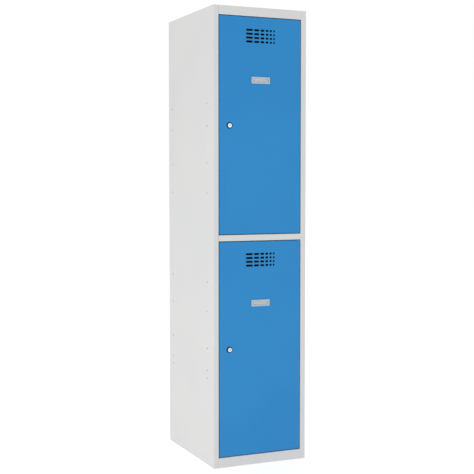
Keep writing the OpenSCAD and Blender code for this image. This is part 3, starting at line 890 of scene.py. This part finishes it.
def plug_radius(level):
    low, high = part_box(level + "_lock_plug")
    return (high.x - low.x) / 2


def drive_square(level, front, back):
    """The square at the plug's end, which also cuts the cam's hole."""
    centre = lock_centre(level)
    half = drive_share * plug_radius(level)
    near_corner = (centre.x - half, front, centre.z - half)
    far_corner = (centre.x + half, back, centre.z + half)
    return block("square", near_corner, far_corner)


def lock_ring(level):
    """The black ring between the head and the door."""
    centre = lock_centre(level)
    low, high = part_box(level + "_lock_bezel")
    radius = (high.x - low.x) / 2
    thick = high.y - low.y
    profile = [
        (barrel_radius, 0),
        (radius - 2.5 * ring_edge, 0),
        (radius - ring_edge, 0.3 * ring_edge),
        (radius, 1.2 * ring_edge),
        (radius, thick),
        (barrel_radius, thick),
        (barrel_radius, 0),
    ]
    ring = turned(level + "_lock_ring", (centre.x, low.y, centre.z), (0, 1, 0), profile, 64)
    smooth(ring)
    stands_for(ring, level + "_lock_bezel", black_plastic)


def lock_barrel(level):
    """The bright head with the barrel behind it: a thread outside and the plug's bore inside."""
    centre = lock_centre(level)
    ring_low, ring_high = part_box(level + "_lock_bezel")
    low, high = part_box(level + "_lock_body")
    head_radius = (high.x - low.x) / 2
    head_thick = ring_low.y - low.y
    bore = plug_radius(level) + play
    length = high.y - low.y
    thread_start = ring_high.y + sheet - low.y
    profile = [
        (bore, bore_edge),
        (bore + bore_edge, 0),
        (head_radius - head_edge, 0),
        (head_radius - 0.3 * head_edge, 0.3 * head_edge),
        (head_radius, head_edge),
        (head_radius, head_thick),
        (barrel_radius, head_thick),
        (barrel_radius, thread_start),
        *thread(barrel_radius, thread_start, length, thread_pitch, thread_depth),
        (bore, length),
        (bore, bore_edge),
    ]
    body = turned(level + "_lock_barrel", (centre.x, low.y, centre.z), (0, 1, 0), profile, 64)
    smooth(body)
    stands_for(body, level + "_lock_body", chrome)


def lock_nut(level):
    """The hexagon nut that holds the barrel behind the door's sheet."""
    centre = lock_centre(level)
    low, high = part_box(level + "_lock_nut")
    bpy.ops.mesh.primitive_cylinder_add(
        vertices=6,
        radius=(high.x - low.x) / 2,
        depth=high.y - low.y,
        location=(low + high) / 2,
        rotation=(pi / 2, pi / 6, 0),
    )
    bpy.ops.object.transform_apply(location=True, rotation=True, scale=True)
    nut = bpy.context.object
    nut.name = level + "_hex_nut"
    start = (centre.x, low.y - sheet, centre.z)
    end = (centre.x, high.y + sheet, centre.z)
    cut(nut, bar("nut_tool", start, end, barrel_radius))
    soften(nut, plated_edge)
    smooth(nut)
    stands_for(nut, level + "_lock_nut", zinc)


def lock_plug(level):
    """The plug that the key turns: a keyway with a ward and a funnel in front, a square behind."""
    centre = lock_centre(level)
    low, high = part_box(level + "_lock_plug")
    radius = plug_radius(level)
    square_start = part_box(level + "_lock_cam")[0].y - low.y - square_lead
    profile = [
        (0, 0),
        (radius - plug_edge, 0),
        (radius - 0.25 * plug_edge, 0.25 * plug_edge),
        (radius, 0.75 * plug_edge),
        (radius, square_start),
        (0, square_start),
    ]
    plug = turned(level + "_key_plug", (centre.x, low.y, centre.z), (0, 1, 0), profile)
    fuse(plug, drive_square(level, low.y + square_start - sheet, high.y))
    front, back = low.y - sheet, low.y + key_deep
    left, right = centre.x - key_thick / 2, centre.x + key_thick / 2
    for step, half_wide in ((0, key_wide / 2), (ward_step, key_wide / 6)):
        near_corner = (left, front, centre.z - half_wide)
        far_corner = (right + step, back, centre.z + half_wide)
        cut(plug, block("keyway_tool", near_corner, far_corner))
    profile = [(0, 0), (funnel_radius, 0), (funnel_radius, sheet), (0, 2.2 * sheet)]
    cut(plug, turned("funnel_tool", (centre.x, front, centre.z), (0, 1, 0), profile))
    smooth(plug)
    stands_for(plug, level + "_lock_plug", chrome)


def lock_cam(level):
    """The flat cam with rounded ends, pushed onto the plug's square."""
    low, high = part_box(level + "_lock_cam")
    cam = slab(level + "_lock_tongue", low, high, (high.x - low.x) / 2 - cam_flat, 8)
    cut(cam, drive_square(level, low.y - sheet, high.y + sheet))
    soften(cam, plated_edge)
    smooth(cam)
    stands_for(cam, level + "_lock_cam", zinc)


def cam_screw(level):
    """The domed screw with a cross recess that holds the cam on the plug."""
    centre = lock_centre(level)
    low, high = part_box(level + "_cam_screw")
    head = high.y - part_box(level + "_lock_cam")[1].y
    radius = (high.x - low.x) / 2
    length = high.y - low.y
    shank = 0.5 * radius - shank_play
    profile = [
        (0, 0),
        (radius * 0.5, 0.05 * head),
        (radius * 0.85, 0.3 * head),
        (radius, 0.7 * head),
        (radius, head),
        (shank, head),
        (shank, length),
        (0, length),
    ]
    screw = turned(level + "_tongue_screw", (centre.x, high.y, centre.z), (0, -1, 0), profile, 40)
    for wide, tall in ((recess_long, recess_thin), (recess_thin, recess_long)):
        near_corner = (centre.x - wide / 2, high.y - 0.5 * head, centre.z - tall / 2)
        far_corner = (centre.x + wide / 2, high.y + sheet, centre.z + tall / 2)
        cut(screw, block("recess_tool", near_corner, far_corner))
    smooth(screw)
    stands_for(screw, level + "_cam_screw", zinc)


for level in ("upper", "lower"):
    for make in (lock_ring, lock_barrel, lock_nut, lock_plug, lock_cam, cam_screw):
        make(level)


# ---- Coat rails, brackets and hooks ----
# Under the top of each compartment a chromed steel tube rests in two sockets welded to the sides.
# Two hooks slide on it; each is a ring with a wire that turns up at the front and ends in a ball.
steel_tube, place, shader = finish("rail_steel", Metallic=1.0)
steel_tones = (0.74, 0.75, 0.76, 1), (0.68, 0.69, 0.70, 1)
drawn = place.stretched(0.02, 1, 1).noise(1600, 2)
feed(
    shader,
    Base_Color=place.noise(40, 2).step(0.3, 0.7).blend(*steel_tones),
    Roughness=0.16 + drawn * 0.14,
    Normal=(drawn * 0.000003).bump(),
)
tube_wall = 0.0012
socket_length = 0.012
socket_flange = 0.002
ring_half = 0.004
ring_play = 0.0006
ring_wall = 0.003
wire_radius = 0.0025
wire_sides = 24
hook_shank = 0.024
hook_bend = 0.0135
bend_steps = 24
inner_edge = 0.0008
outer_edge = 0.0012
fillet = 0.0012
socket_edge = 0.0004


def coat_rail(level):
    """One tube and its two sockets. Returns the tube's middle and its radius."""
    low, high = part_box(level + "_coat_rail")
    radius = (high.z - low.z) / 2
    length = high.x - low.x
    centre = (low + high) / 2
    start = (low.x, centre.y, centre.z)
    profile = [
        (radius - tube_wall, 0),
        (radius, 0),
        (radius, length),
        (radius - tube_wall, length),
        (radius - tube_wall, 0),
    ]
    tube = turned(level + "_hanging_tube", start, (1, 0, 0), profile, 64)
    smooth(tube)
    stands_for(tube, level + "_coat_rail", steel_tube)

    low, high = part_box(level + "_rail_brackets")
    flange_radius = (high.z - low.z) / 2
    socket_radius = radius + ring_wall
    sockets = []
    for x, way in ((low.x, 1), (high.x, -1)):
        profile = [
            (0, 0),
            (flange_radius, 0),
            (flange_radius, socket_flange),
            (socket_radius + fillet, socket_flange),
            (socket_radius, socket_flange + fillet),
            (socket_radius, socket_length),
            (radius, socket_length),
            (radius, socket_flange),
            (0, socket_flange),
        ]
        sockets.append(turned("socket", (x, centre.y, centre.z), (way, 0, 0), profile, 64))
    sockets = joined(level + "_rail_sockets", *sockets)
    soften(sockets, socket_edge)
    smooth(sockets)
    stands_for(sockets, level + "_rail_brackets", grey_coat)
    return centre, radius


def coat_hook(name, node, rail, rail_radius):
    """A ring round the rail, with a bent wire that hangs from it and a ball at the wire's end."""
    low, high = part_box(node)
    x = (low.x + high.x) / 2
    ring_bore = rail_radius + ring_play
    ring_radius = ring_bore + ring_wall
    ring_wide = 2 * ring_half
    profile = [
        (ring_bore, inner_edge),
        (ring_bore + inner_edge, 0),
        (ring_radius - outer_edge, 0),
        (ring_radius, outer_edge),
        (ring_radius, ring_wide - outer_edge),
        (ring_radius - outer_edge, ring_wide),
        (ring_bore + inner_edge, ring_wide),
        (ring_bore, ring_wide - inner_edge),
        (ring_bore, inner_edge),
    ]
    hook = turned(name, (x - ring_half, rail.y, rail.z), (1, 0, 0), profile)
    bend_z = rail.z - ring_radius - hook_shank
    bpy.ops.object.select_all(action="DESELECT")
    bpy.ops.mesh.primitive_circle_add(
        vertices=wire_sides,
        radius=wire_radius,
        fill_type="NGON",
        location=(x, rail.y, rail.z - ring_radius + ring_wall / 2),
    )
    bpy.ops.object.transform_apply(location=True, rotation=True, scale=True)
    wire = bpy.context.object
    edit(wire)
    choose_faces(wire, lambda middle: True)
    down = (0, 0, -hook_shank - ring_wall / 2)
    bpy.ops.mesh.extrude_region_move(TRANSFORM_OT_translate={"value": down})
    bend_centre = (x, rail.y - hook_bend, bend_z)
    bpy.ops.mesh.spin(steps=bend_steps, angle=pi, center=bend_centre, axis=(1, 0, 0))
    bpy.ops.mesh.select_all(action="SELECT")
    bpy.ops.mesh.remove_doubles(threshold=merge_reach)
    bpy.ops.mesh.normals_make_consistent(inside=False)
    done()
    bpy.ops.object.select_all(action="DESELECT")
    ball_y = rail.y - 2 * hook_bend
    bpy.ops.mesh.primitive_uv_sphere_add(
        segments=32, ring_count=16, radius=ball_y - low.y, location=(x, ball_y, bend_z)
    )
    bpy.ops.object.transform_apply(location=True, rotation=True, scale=True)
    ball = bpy.context.object
    fuse(hook, wire)
    fuse(hook, ball)
    smooth(hook)
    stands_for(hook, node, chrome)


for level in ("upper", "lower"):
    rail, rail_radius = coat_rail(level)
    for side in ("left", "right"):
        start = level + "_" + side
        coat_hook(start + "_coat_hook", start + "_hook", rail, rail_radius)


# ---- Levelling feet ----
# A black plastic pad with a chamfer and a hollow underneath, a zinc-plated hexagon for the spanner
# and a threaded stud that screws into the rivet nut of the channel above.
pad_plastic = moulded("foot_plastic", (0.02, 0.02, 0.02, 1), (0.035, 0.035, 0.035, 1), 0.55)
pad_thick = 0.005
pad_hollow = 0.0006
pad_edge = 0.0006
pad_chamfer = 0.0015
hex_high = 0.007
hex_radius = 0.0075
hex_edge = 0.0005
stud_radius = 0.004
stud_pitch = 0.00125
stud_depth = 0.0006


def levelling_foot(name, node):
    """One foot: pad, hexagon and stud, joined as one piece with two materials."""
    low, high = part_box(node)
    centre = (low + high) / 2
    start = (centre.x, centre.y, low.z)
    radius = (high.x - low.x) / 2
    profile = [
        (0, pad_hollow),
        (radius * 0.6, pad_hollow),
        (radius * 0.66, 0),
        (radius - pad_edge, 0),
        (radius, pad_edge),
        (radius, pad_thick - pad_chamfer),
        (radius - pad_chamfer, pad_thick),
        (0, pad_thick),
    ]
    foot = turned(name, start, (0, 0, 1), profile, 64)
    hex_bottom = (centre.x, centre.y, low.z + pad_thick)
    hex_top = (centre.x, centre.y, low.z + pad_thick + hex_high)
    hexagon = bar("hexagon", hex_bottom, hex_top, hex_radius, 6)
    soften(hexagon, hex_edge)
    stud_start = pad_thick + hex_high
    stud_length = high.z - low.z
    ridges = thread(stud_radius, stud_start, stud_length, stud_pitch, stud_depth)
    profile = [(0, stud_start), *ridges, (0, stud_length)]
    stud = turned("stud", start, (0, 0, 1), profile, 32)
    foot = joined(name, foot, hexagon, stud)
    smooth(foot)
    stands_for(foot, node, pad_plastic)
    foot.data.materials.append(zinc)
    edit(foot)
    choose_faces(foot, lambda middle: middle.z > low.z + pad_thick + tiny)
    foot.active_material_index = 1
    bpy.ops.object.material_slot_assign()
    done()


for corner in ("front_left", "front_right", "rear_left", "rear_right"):
    levelling_foot(corner + "_levelling_foot", corner + "_foot")
